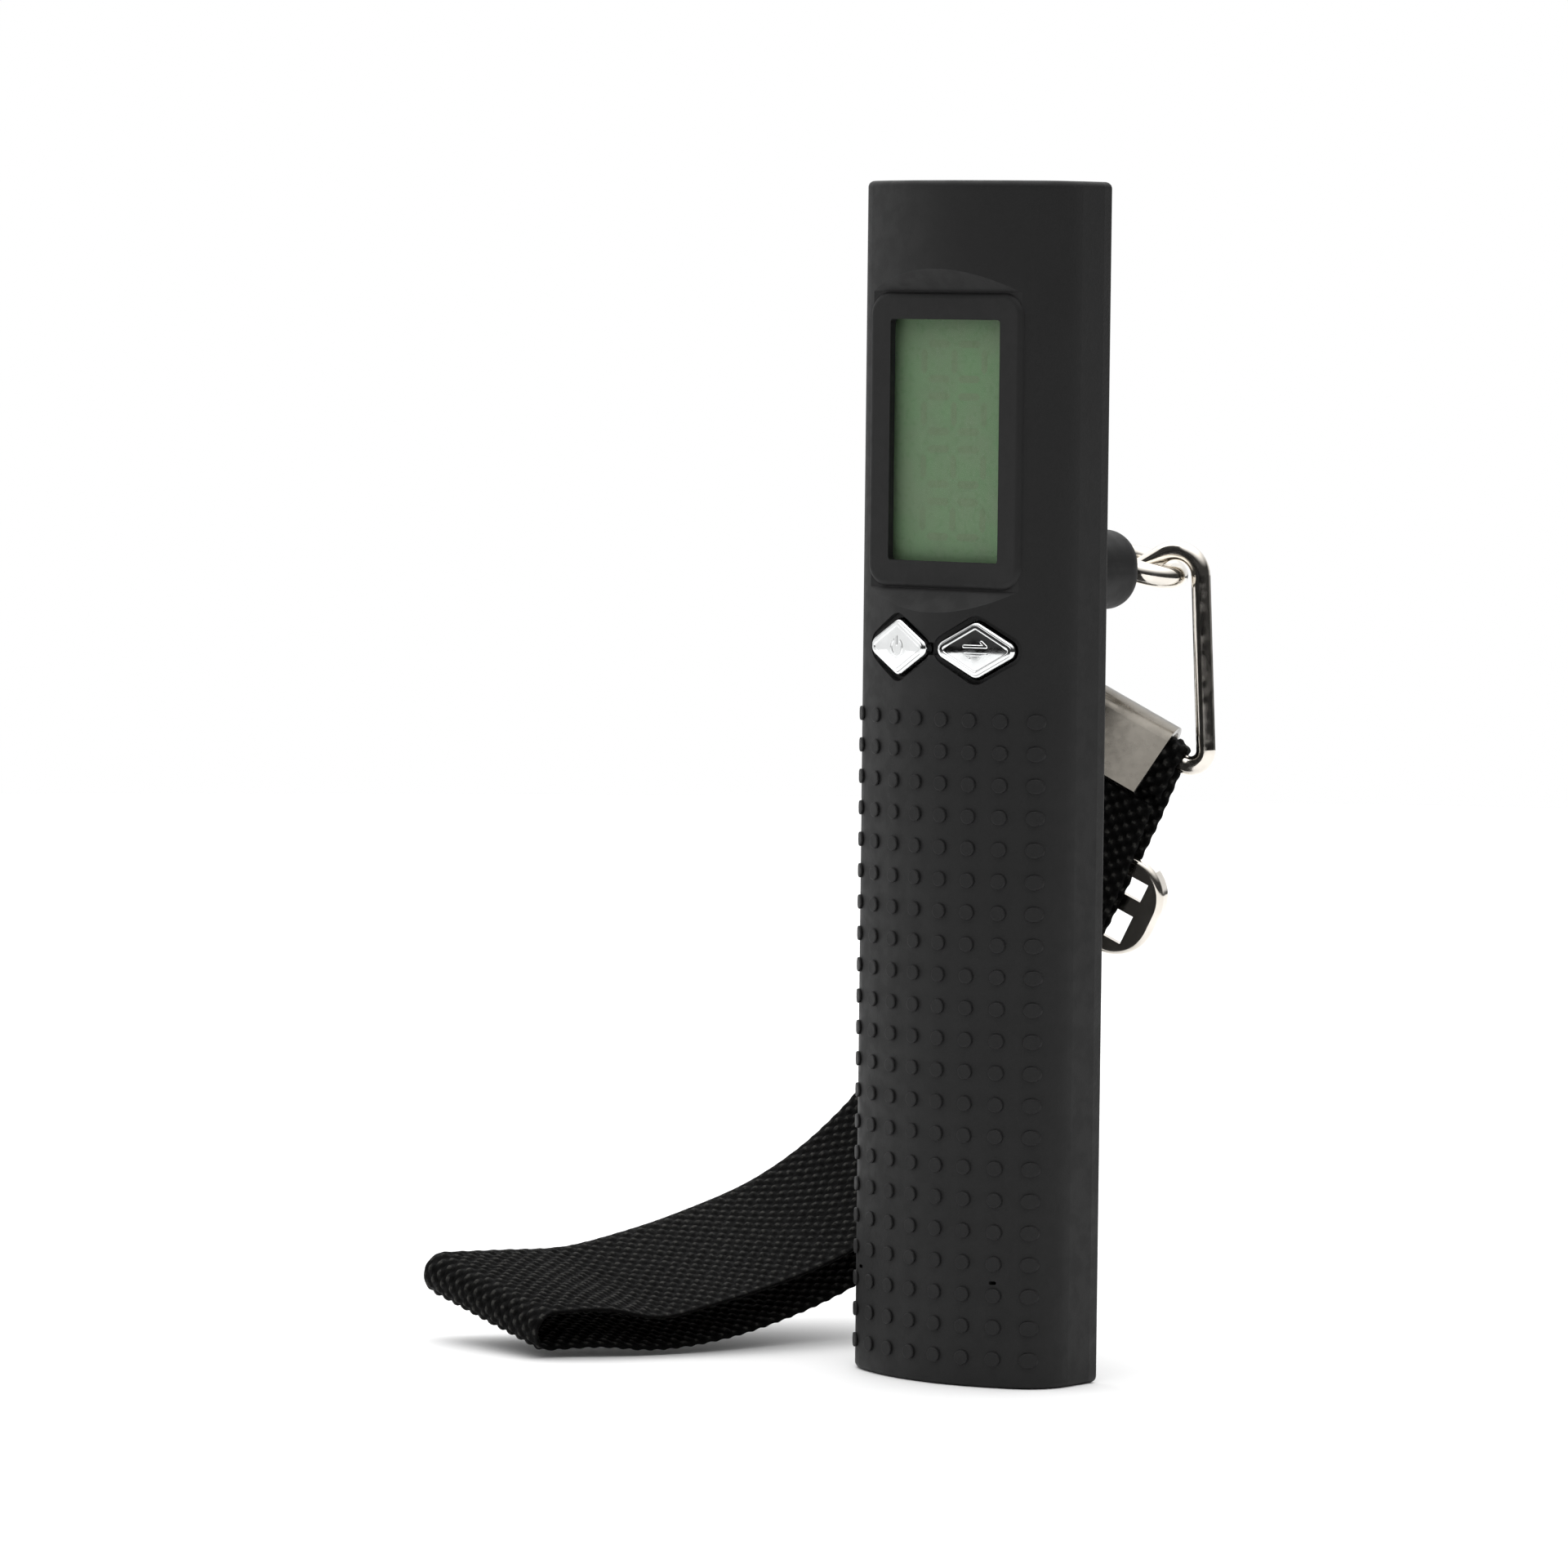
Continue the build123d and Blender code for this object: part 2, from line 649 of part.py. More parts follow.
def wire_ring():
    """A closed triangle of round wire with one wide bend at the eye."""
    top, right, left = ring_corners()
    plane = ring_plane()
    path = closed_outline([right, left, top], [ring_corner, ring_corner, ring_bend])
    path = plane * path
    section = Plane(origin=path @ 0, z_dir=path % 0) * Circle(ring_wire / 2)
    return sweep(section, path=path)


def closed_outline(corners, radii):
    """A closed wire through corners, each rounded by its own radius."""
    edges = []
    ends = []
    count = len(corners)
    for i, (corner, radius) in enumerate(zip(corners, radii)):
        here = Vector(*corner)
        before = (Vector(*corners[i - 1]) - here).normalized()
        after = (Vector(*corners[(i + 1) % count]) - here).normalized()
        half = math.radians(before.get_angle(after)) / 2
        trim = radius / math.tan(half)
        start = here + before * trim
        end = here + after * trim
        inward = (before + after).normalized()
        middle = here + inward * (radius / math.sin(half) - radius)
        edges.append(ThreePointArc(start, middle, end))
        ends.append((start, end))
    for i in range(count):
        edges.append(Line(ends[i][1], ends[(i + 1) % count][0]))
    return Wire(edges)


def bar_axis():
    """A point on the ring's base bar and its direction, towards the left."""
    top, right, left = ring_corners()
    plane = ring_plane()
    a = plane.from_local_coords(Vector(*right))
    b = plane.from_local_coords(Vector(*left))
    return (a + b) * 0.5, (b - a).normalized()


# ---- strap ------------------------------------------------------------------------------------
def squared(across, along):
    """The direction across, made square to the direction along."""
    return (across - along * across.dot(along)).normalized()


def strap_frames():
    """Middle, direction across, direction down the strap, front side and layer gap at each station."""
    middles = [Vector(*place) for place, _, _ in strap_stations]
    frames = []
    for i, (place, across, gap) in enumerate(strap_stations):
        along = (middles[min(i + 1, len(middles) - 1)] - middles[max(i - 1, 0)]).normalized()
        across = squared(Vector(*across).normalized(), along)
        frames.append((middles[i], across, along, across.cross(along), gap))
    return frames


def webbing_section(middle, across, normal):
    """The webbing cut square: a flat rectangle."""
    plane = Plane(origin=middle, x_dir=across, z_dir=across.cross(normal))
    return plane * Rectangle(strap_width, strap_thickness)


def bar_frame():
    """The ring's bar: its middle, its direction, straight down the strap from it, and the strap's front."""
    centre, bar = bar_axis()
    run = strap_frames()[slider_station]
    down = squared(run[2], bar)
    front = bar.cross(down)
    return centre, bar, down, front if front.dot(run[3]) > 0 else front * -1


def strap_sections():
    """Sections along the webbing: front layer, fold, back layer, round the ring's bar and back down."""
    frames = strap_frames()
    centre, bar, down, side = bar_frame()
    start = centre + down * front_layer_drop + side * front_layer_lead
    middle, across, along, front, gap = frames[slider_station]
    lean = (middle + front * (gap / 2) - start).normalized()
    rows = [(start, bar, bar.cross(lean) * (1 if bar.cross(lean).dot(side) > 0 else -1))]
    for middle, across, along, front, gap in frames[slider_station:]:
        rows.append((middle + front * (gap / 2), across, front))
    for angle in (60, 30, 0, -30, -60):
        turn = math.radians(angle)
        out = front * math.sin(turn) + along * math.cos(turn)
        rows.append((middle + out * (gap / 2), across, out))
    for middle, across, along, front, gap in reversed(frames):
        rows.append((middle - front * (gap / 2), across, front * -1))
    radius = ring_wire / 2 + loop_play + strap_thickness / 2
    for angle in range(-90, -271, -30):
        turn = math.radians(angle)
        out = down * math.cos(turn) + side * math.sin(turn)
        rows.append((centre + out * radius, bar, out))
    rows.append((centre + side * radius + down * loop_end, bar, side))
    return [webbing_section(*row) for row in rows]


def strap():
    """The webbing in one piece."""
    return loft(strap_sections(), ruled=True)


def strap_slider():
    """A cast slider: rims in front of the webbing, the middle bar behind it."""
    middle, across, along, front, gap = strap_frames()[slider_station]
    centre = middle - front * (gap / 2) - across * slider_shift
    plane = Plane(origin=centre, x_dir=across, z_dir=front)
    inner = strap_thickness / 2 + slider_play
    outer = inner + slider_metal
    outline = RectangleRounded(slider_width, slider_height, slider_corner)
    block = Pos(0, 0, -outer) * extrude(outline, 2 * outer)
    rims = block.edges().group_by(Axis.Z)
    block = fillet(rims[0] + rims[-1], slider_round)
    slot = slider_width - 2 * slider_end
    block -= Box(slot, slider_height * 2, 2 * inner)
    block -= Pos(0, 0, outer) * Box(slot, slider_height - 2 * slider_rim, 2 * outer)
    for side in (-1, 1):
        block -= Pos(0, side * (slider_bar / 2 + slider_height), -outer) * Box(slot, 2 * slider_height,
                                                                               2 * outer)
    return plane * block


def strap_hook():
    """A sheet-metal hook that rolls over the strap on the ring's bar, with a flat leg."""
    centre, bar, down, front = bar_frame()
    open_to = math.radians(hook_angle)
    leg = down * math.cos(open_to) + front * math.sin(open_to)
    out = front * math.cos(open_to) - down * math.sin(open_to)
    inner = ring_wire / 2 + loop_play + strap_thickness + hook_play
    outer = inner + hook_metal
    plane = Plane(origin=centre, x_dir=leg, z_dir=leg.cross(out))
    reach = 3 * outer
    past = math.radians(90 + hook_wrap)
    keep = Polygon((0, 0), (0, reach), (-reach, reach), (-reach, -reach * 0.2),
                   (reach * math.cos(past), reach * math.sin(past)), align=None)
    profile = (Circle(outer) - Circle(inner)) & keep
    profile += Pos(hook_leg / 2, (inner + outer) / 2) * Rectangle(hook_leg, hook_metal)
    return plane * extrude(profile, hook_width / 2, both=True)


def save(name, shape):
    """Write one named piece."""
    solids = shape if isinstance(shape, list) else shape.solids()
    group = solids[0] if len(solids) == 1 else Compound(children=list(solids))
    export_step(group, f"parts/{name}.step")
    print(f"{name:18s} {len(solids):3d} solids {sum(s.volume for s in solids):10.2f} mm3")


def main():
    """Build every piece and write it."""
    os.makedirs("parts", exist_ok=True)
    pieces = {
        "front_housing": front_housing(), "back_cover": back_cover(), "battery_door": battery_door(),
        "lcd_lens": lcd_lens(), "lcd_panel": lcd_panel(), "lcd_holder": lcd_holder(),
        "zebra_strips": zebra_strips(), "main_board": main_board(), "board_screws": board_screws(),
        "tact_switches": tact_switches(), "controller_chip": controller_chip(), "buzzer": buzzer(),
        "load_cell": load_cell(), "strain_gauges": strain_gauges(),
        "load_cell_screws": load_cell_screws(), "case_screws": case_screws(),
        "coin_cell": coin_cell(), "battery_contacts": battery_contacts(),
        "battery_leads": battery_leads(), "power_button": button(-1), "unit_button": button(1),
        "neck": neck(), "swivel_eye": swivel_eye(), "stem_nut": stem_nut(),
        "thrust_washer": thrust_washer(), "wire_ring": wire_ring(), "strap": strap(),
        "strap_slider": strap_slider(), "strap_hook": strap_hook(),
    }
    for name, shape in pieces.items():
        save(name, shape)


main()
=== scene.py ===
"""Looks of the digital luggage scale: materials, webbing, display, button faces, light and camera."""
import math

import bpy
import numpy as np
from mathutils import Matrix, Vector


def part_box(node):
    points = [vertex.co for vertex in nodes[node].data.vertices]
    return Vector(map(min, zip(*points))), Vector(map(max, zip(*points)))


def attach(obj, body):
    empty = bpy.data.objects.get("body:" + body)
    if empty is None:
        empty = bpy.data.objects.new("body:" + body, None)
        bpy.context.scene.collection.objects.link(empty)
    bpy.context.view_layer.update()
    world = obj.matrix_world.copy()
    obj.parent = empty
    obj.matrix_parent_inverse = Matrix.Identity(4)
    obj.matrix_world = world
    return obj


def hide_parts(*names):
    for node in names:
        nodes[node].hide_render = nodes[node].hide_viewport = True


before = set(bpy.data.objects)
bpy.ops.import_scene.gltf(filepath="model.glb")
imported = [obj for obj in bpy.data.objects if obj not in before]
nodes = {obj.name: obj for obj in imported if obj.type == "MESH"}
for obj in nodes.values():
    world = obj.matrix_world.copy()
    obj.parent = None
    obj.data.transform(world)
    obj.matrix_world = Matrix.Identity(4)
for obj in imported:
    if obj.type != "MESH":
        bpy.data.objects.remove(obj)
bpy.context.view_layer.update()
scene = bpy.context.scene
mm = 0.001
rng = np.random.default_rng(11)


# ---- materials --------------------------------------------------------------------------------
class Look:
    """A material with one Principled shader and short calls for the nodes behind it."""

    def __init__(self, name, **inputs):
        self.material = bpy.data.materials.new("look_" + name)
        self.material.use_nodes = True
        self.tree = self.material.node_tree
        self.tree.nodes.clear()
        self.output = self.add("ShaderNodeOutputMaterial")
        self.shader = self.add("ShaderNodeBsdfPrincipled")
        self.link(self.shader.outputs[0], self.output.inputs["Surface"])
        for key, value in inputs.items():
            self.shader.inputs[key.replace("_", " ")].default_value = value
        self.place = self.add("ShaderNodeTexCoord").outputs["Object"]

    def add(self, kind, **settings):
        node = self.tree.nodes.new(kind)
        for key, value in settings.items():
            setattr(node, key, value)
        return node

    def link(self, source, target):
        self.tree.links.new(source, target)

    def noise(self, size, detail=3.0, stretch=None, roughness=0.5):
        """Noise whose features are about size millimetres."""
        node = self.add("ShaderNodeTexNoise")
        node.inputs["Scale"].default_value = 1 / (size * mm)
        node.inputs["Detail"].default_value = detail
        node.inputs["Roughness"].default_value = roughness
        place = self.place
        if stretch:
            shaped = self.add("ShaderNodeVectorMath", operation="MULTIPLY")
            self.link(place, shaped.inputs[0])
            shaped.inputs[1].default_value = stretch
            place = shaped.outputs[0]
        self.link(place, node.inputs["Vector"])
        return node.outputs["Fac"]

    def span(self, value, low, high, start=0.35, end=0.65):
        """The value, taken from start..end to low..high."""
        node = self.add("ShaderNodeMapRange", interpolation_type="SMOOTHSTEP")
        self.link(value, node.inputs["Value"])
        node.inputs["From Min"].default_value = start
        node.inputs["From Max"].default_value = end
        node.inputs["To Min"].default_value = low
        node.inputs["To Max"].default_value = high
        return node.outputs["Result"]

    def colours(self, value, *stops):
        """A colour ramp over the value: (place, colour) stops."""
        node = self.add("ShaderNodeValToRGB")
        ramp = node.color_ramp
        while len(ramp.elements) < len(stops):
            ramp.elements.new(0.5)
        for element, (place, colour) in zip(ramp.elements, stops):
            element.position = place
            element.color = (*colour, 1)
        self.link(value, node.inputs["Fac"])
        return node.outputs["Color"]

    def paint(self, socket):
        self.link(socket, self.shader.inputs["Base Color"])

    def rough(self, socket):
        self.link(socket, self.shader.inputs["Roughness"])

    def bump(self, height, depth, strength=1.0):
        """Relief of depth millimetres from a height of 0 to 1. A second one adds to the first."""
        node = self.add("ShaderNodeBump")
        node.inputs["Strength"].default_value = strength
        node.inputs["Distance"].default_value = depth * mm
        self.link(height, node.inputs["Height"])
        before = self.shader.inputs["Normal"]
        if before.is_linked:
            self.link(before.links[0].from_socket, node.inputs["Normal"])
        self.link(node.outputs["Normal"], before)


def moulded(name, dark, light, low, high, grain=0.25, depth=0.012, **inputs):
    """Moulded plastic: cloudy colour, fine grain and uneven gloss."""
    look = Look(name, **inputs)
    look.paint(look.colours(look.noise(9, 5), (0.3, dark), (0.7, light)))
    look.rough(look.span(look.noise(2.2, 4), low, high))
    look.bump(look.noise(grain, 2), depth)
    look.bump(look.noise(14, 2), 0.02)
    return look.material


def plated(name, dark, light, low, high, drawn=(1, 1, 1), size=3, **inputs):
    """Plated or bare metal: hairlines, soft smudges and small waviness of the polish."""
    look = Look(name, Metallic=1.0, **inputs)
    look.paint(look.colours(look.noise(size, 4), (0.3, dark), (0.7, light)))
    look.rough(look.span(look.noise(1.4, 5, drawn), low, high))
    look.bump(look.noise(0.12, 2, drawn), 0.0012)
    look.bump(look.noise(2.6, 2), 0.006)
    return look.material


def board_look():
    """Solder mask over copper tracks."""
    look = Look("board", Roughness=0.35)
    tracks = look.add("ShaderNodeTexBrick", offset=0.3, squash=1.4, squash_frequency=3)
    tracks.inputs["Scale"].default_value = 160
    tracks.inputs["Mortar Size"].default_value = 0.03
    turned = look.add("ShaderNodeMapping")
    turned.inputs["Rotation"].default_value = (math.radians(90), 0, 0)
    look.link(look.place, turned.inputs["Vector"])
    look.link(turned.outputs["Vector"], tracks.inputs["Vector"])
    mask, copper = (0.012, 0.09, 0.035), (0.03, 0.19, 0.07)
    look.paint(look.colours(tracks.outputs["Fac"], (0.2, mask), (0.8, copper)))
    look.rough(look.span(look.noise(1.5), 0.25, 0.4))
    look.bump(tracks.outputs["Fac"], 0.03)
    return look.material


def webbing_look():
    """Black polypropylene yarn: crowns painted brighter, partly wear and dust and partly painted highlight,
    valleys painted near black as painted shade, and fibres along each yarn.
    """
    look = Look("webbing", Roughness=0.6)
    look.shader.inputs["Specular IOR Level"].default_value = 0.05
    crown = look.add("ShaderNodeAttribute", attribute_name="crown").outputs["Fac"]
    fleck = look.noise(0.35, 3)
    raised = look.add("ShaderNodeMath", operation="MULTIPLY")
    look.link(crown, raised.inputs[0])
    raised.inputs[1].default_value = 0.62
    mixed = look.add("ShaderNodeMath", operation="MULTIPLY_ADD")
    look.link(fleck, mixed.inputs[0])
    mixed.inputs[1].default_value = 0.6
    look.link(raised.outputs[0], mixed.inputs[2])
    # Painted light and shade: the yarn's colour follows its crown height, near black in the valleys as
    # painted shade between yarns, and light on the crowns as painted highlight together with worn, dusty
    # fibre.
    shaded_valley, slope, top = (0.0006, 0.0006, 0.0006), (0.0040, 0.0039, 0.0037), (0.040, 0.039, 0.036)
    look.paint(look.colours(mixed.outputs[0], (0.35, shaded_valley), (0.72, slope), (0.95, top)))
    look.rough(look.span(look.noise(0.6, 3), 0.5, 0.7))
    uv = look.add("ShaderNodeTexCoord").outputs["UV"]
    along = look.add("ShaderNodeMapping")
    along.inputs["Scale"].default_value = (2600, 420, 1)
    along.inputs["Rotation"].default_value = (0, 0, math.radians(12))
    look.link(uv, along.inputs["Vector"])
    fibre = look.add("ShaderNodeTexNoise")
    fibre.inputs["Scale"].default_value = 1.0
    fibre.inputs["Detail"].default_value = 3
    look.link(along.outputs["Vector"], fibre.inputs["Vector"])
    look.bump(fibre.outputs["Fac"], 0.09, 0.9)
    return look.material


def display_look():
    """Reflective liquid crystal glass: a green-grey field, mottled, with painted shade from the recess
    darkening its left and top edges.
    """
    look = Look("display", Roughness=0.3, Specular_IOR_Level=0.15)
    low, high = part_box("lcd_panel")
    parts = look.add("ShaderNodeSeparateXYZ")
    look.link(look.place, parts.inputs[0])
    # Painted shade: the recess's shadow, painted as darkening of the field along its left and top edges.
    left = look.span(parts.outputs["X"], 0.85, 1.0, -8.9 * mm, -7.6 * mm)
    centre_z = (low.z + high.z) / 2
    top = look.span(parts.outputs["Z"], 1.0, 0.8, centre_z + 13.2 * mm, centre_z + 15.2 * mm)
    painted_recess_shade = look.add("ShaderNodeMath", operation="MULTIPLY")
    look.link(left, painted_recess_shade.inputs[0])
    look.link(top, painted_recess_shade.inputs[1])
    cloud = look.colours(look.noise(5, 3), (0.35, (0.182, 0.262, 0.158)), (0.65, (0.167, 0.276, 0.150)))
    mixed = look.add("ShaderNodeVectorMath", operation="SCALE")
    look.link(cloud, mixed.inputs[0])
    look.link(painted_recess_shade.outputs[0], mixed.inputs["Scale"])
    look.paint(mixed.outputs[0])
    look.rough(look.span(look.noise(0.8), 0.26, 0.36))
    look.bump(look.noise(0.2), 0.002)
    return look.material


def lens_look():
    """Clear acrylic with a faint gloss and hairline scratches."""
    look = Look("lens", Roughness=0.08, Base_Color=(0.05, 0.06, 0.05, 1), Alpha=0.06, IOR=1.49)
    look.rough(look.span(look.noise(0.8, 4, (1, 1, 0.2)), 0.05, 0.12))
    look.bump(look.noise(3), 0.002)
    return look.material


def segment_look():
    """The unlit segments, only just browner than the field."""
    look = Look("segment", Roughness=0.3, Specular_IOR_Level=0.15)
    look.paint(look.colours(look.noise(1.2), (0.3, (0.170, 0.240, 0.142)), (0.7, (0.178, 0.246, 0.148))))
    look.rough(look.span(look.noise(0.8), 0.26, 0.36))
    return look.material


looks = {
    "body_plastic": moulded("body_plastic", (0.0095, 0.0095, 0.0096), (0.0109, 0.0109, 0.0110), 0.52, 0.62,
                            Specular_IOR_Level=0.25),
    "cover_plastic": moulded("cover_plastic", (0.0115, 0.0114, 0.0114), (0.0138, 0.0137, 0.0136), 0.48, 0.60,
                             grain=0.4, depth=0.03, Specular_IOR_Level=0.3),
    "button_chrome": plated("button_chrome", (0.72, 0.73, 0.73), (0.79, 0.80, 0.80), 0.05, 0.10),
    "nickel": plated("nickel", (0.66, 0.62, 0.56), (0.78, 0.74, 0.68), 0.07, 0.15),
    "webbing": webbing_look(),
    "lens": lens_look(),
    "display": display_look(),
    "holder_plastic": moulded("holder_plastic", (0.68, 0.68, 0.65), (0.78, 0.78, 0.75), 0.4, 0.55),
    "silicone": moulded("silicone", (0.19, 0.19, 0.20), (0.28, 0.28, 0.28), 0.6, 0.75),
    "board": board_look(),
    "steel": plated("steel", (0.52, 0.53, 0.55), (0.64, 0.64, 0.65), 0.25, 0.4),
    "chip_epoxy": moulded("chip_epoxy", (0.015, 0.015, 0.016), (0.024, 0.024, 0.025), 0.3, 0.42),
    "beam": plated("beam", (0.68, 0.69, 0.71), (0.78, 0.78, 0.79), 0.28, 0.42, drawn=(1, 1, 12)),
    "foil": moulded("foil", (0.45, 0.26, 0.08), (0.62, 0.40, 0.16), 0.25, 0.4),
    "cell": plated("cell", (0.62, 0.62, 0.63), (0.74, 0.74, 0.74), 0.2, 0.32, drawn=(12, 1, 1)),
    "brass_leaf": plated("brass_leaf", (0.66, 0.50, 0.22), (0.80, 0.64, 0.34), 0.2, 0.32),
    "lead": moulded("lead", (0.40, 0.02, 0.02), (0.55, 0.03, 0.03), 0.4, 0.5),
}

# The hook gets its own darker and rougher copy of the nickel.
special = {"strap_hook": plated("hook_nickel", (0.10, 0.092, 0.08), (0.175, 0.162, 0.142), 0.16, 0.28,
                                size=7)}
for name, node in nodes.items():
    slot = node.data.materials[0].name.split(".")[0]
    node.data.materials.clear()
    node.data.materials.append(special.get(name, looks[slot]))


# ---- meshes -----------------------------------------------------------------------------------
def new_piece(name, points, faces, material, body, smooth=True):
    """A mesh piece, placed in the frame, that rides on a body."""
    mesh = bpy.data.meshes.new(name)
    mesh.from_pydata([tuple(p) for p in points], [], [tuple(f) for f in faces])
    mesh.polygons.foreach_set("use_smooth", [smooth] * len(mesh.polygons))
    mesh.materials.append(material)
    piece = bpy.data.objects.new(name, mesh)
    scene.collection.objects.link(piece)
    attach(piece, body)
    return piece


def unit(vectors):
    return vectors / np.linalg.norm(vectors, axis=-1, keepdims=True)


def through(knots, rows, samples):
    """A smooth curve through rows of numbers at the knots, each tangent weighted to the shorter side."""
    steps = np.diff(knots)[:, None]
    slopes = np.diff(rows, axis=0) / steps
    tangents = np.empty_like(rows)
    tangents[1:-1] = (slopes[:-1] * steps[1:] + slopes[1:] * steps[:-1]) / (steps[:-1] + steps[1:])
    tangents[0] = slopes[0]
    tangents[-1] = slopes[-1]
    index = np.clip(np.searchsorted(knots, samples, side="right") - 1, 0, len(knots) - 2)
    width = steps[index]
    t = ((samples - knots[index])[:, None]) / width
    return ((2 * t ** 3 - 3 * t ** 2 + 1) * rows[index] + (t ** 3 - 2 * t ** 2 + t) * width * tangents[index]
            + (3 * t ** 2 - 2 * t ** 3) * rows[index + 1] + (t ** 3 - t ** 2) * width * tangents[index + 1])


def chords(points):
    """Length along a line of points."""
    return np.concatenate(([0], np.cumsum(np.linalg.norm(np.diff(points, axis=0), axis=1))))


def eased(rows, reach):
    """Rows averaged with their neighbours up to reach rows away; the ends stay."""
    padded = np.concatenate([2 * rows[:1] - rows[reach:0:-1], rows, 2 * rows[-1:] - rows[-2:-reach - 2:-1]])
    kernel = np.hanning(2 * reach + 3)[1:-1]
    kernel /= kernel.sum()
    return np.stack([np.convolve(padded[:, k], kernel, "valid") for k in range(rows.shape[1])], axis=1)


# ---- webbing ----------------------------------------------------------------------------------
strap_width = 25.0 * mm
yarn_columns = 25
yarn_samples = 4
pick = 1.0 * mm                   # from one crossing yarn to the next
step = 0.25 * mm                  # between rows of the mesh

# Middle of the two layers, direction across, and gap between the layers, from the ring to the fold.
strap_stations = np.array([
    (-9.3, 33.1, 72.5, -0.815, -0.363, 0.452, 3.4),
    (-14.0, 32.2, 63.2, -0.815, -0.363, 0.452, 3.4),
    (-18.7, 31.3, 53.9, -0.815, -0.363, 0.452, 3.4),
    (-21.6, 31.2, 46.6, -0.85, -0.22, 0.45, 3.4),
    (-24.4, 31.4, 37.2, -0.88, -0.02, 0.42, 3.6),
    (-28.6, 30.0, 27.8, -0.90, 0.17, 0.37, 4.1),
    (-33.8, 24.6, 20.2, -0.89, 0.30, 0.33, 4.6),
    (-39.4, 16.4, 13.4, -0.88, 0.34, 0.31, 5.0),
    (-43.6, 6.6, 9.5, -0.89, 0.33, 0.29, 5.3),
    (-46.6, -2.2, 7.4, -0.91, 0.30, 0.27, 5.1),
    (-50.2, -10.0, 6.2, -0.93, 0.26, 0.26, 4.3),
    (-54.7, -17.0, 6.4, -0.95, 0.22, 0.20, 4.9),
    (-59.0, -22.3, 6.2, -0.96, 0.18, 0.21, 4.9),
])
slider_station = 1
bar_centre = np.array((-5.233, 34.505, 82.341)) * mm      # middle of the ring's lower side
bar_across = np.array((-0.806452, -0.359055, 0.469803))
run_down = np.array((-0.469231, -0.094857, -0.877966))
loop_radius = 2.1 * mm
front_end_down, front_end_out = 6.0 * mm, 3.9 * mm        # the front layer's end, from the bar
back_end_down = 5.0 * mm


def strap_line():
    """Rows of point, direction across and direction out of the face, along the whole webbing."""
    places = strap_stations[:, :3] * mm
    knots = chords(places)
    fine = np.append(np.arange(0, knots[-1], 1.0 * mm), knots[-1])
    rows = through(knots, np.hstack([places, strap_stations[:, 3:6], strap_stations[:, 6:] * mm]), fine)
    middle, across, gap = rows[:, :3], unit(rows[:, 3:6]), rows[:, 6:]
    along = unit(np.gradient(middle, axis=0))
    front = unit(np.cross(across, along))
    onward = np.cross(front, across)
    side = np.cross(bar_across, run_down)
    start = bar_centre + run_down * front_end_down + side * front_end_out
    first = np.searchsorted(fine, knots[slider_station])
    onset = unit(middle[first] + front[first] * gap[first] / 2 - start)
    out = np.cross(bar_across, onset)
    lines = [(start, bar_across, out if out @ side > 0 else -out)]
    for i in range(first, len(middle)):
        lines.append((middle[i] + front[i] * gap[i] / 2, across[i], front[i]))
    for angle in range(75, -76, -15):
        turn = math.radians(angle)
        out = front[-1] * math.sin(turn) + onward[-1] * math.cos(turn)
        lines.append((middle[-1] + out * gap[-1] / 2, across[-1], out))
    for i in range(len(middle) - 1, -1, -1):
        lines.append((middle[i] - front[i] * gap[i] / 2, across[i], -front[i]))
    for angle in range(-90, -271, -15):
        turn = math.radians(angle)
        out = run_down * math.cos(turn) + side * math.sin(turn)
        lines.append((bar_centre + out * loop_radius, bar_across, out))
    lines.append((bar_centre + side * loop_radius + run_down * back_end_down, bar_across, side))
    rows = np.array([np.concatenate(line) for line in lines])
    knots = chords(rows[:, :3])
    even = np.linspace(0, knots[-1], int(knots[-1] / step) + 1)
    rows = eased(through(knots, rows, even), 5)
    length = chords(rows[:, :3])
    spread = np.linspace(0, length[-1], len(rows))
    rows = np.stack([np.interp(spread, length, rows[:, k]) for k in range(9)], axis=1)
    return rows[:, :3], rows[:, 3:6], rows[:, 6:], length[-1]


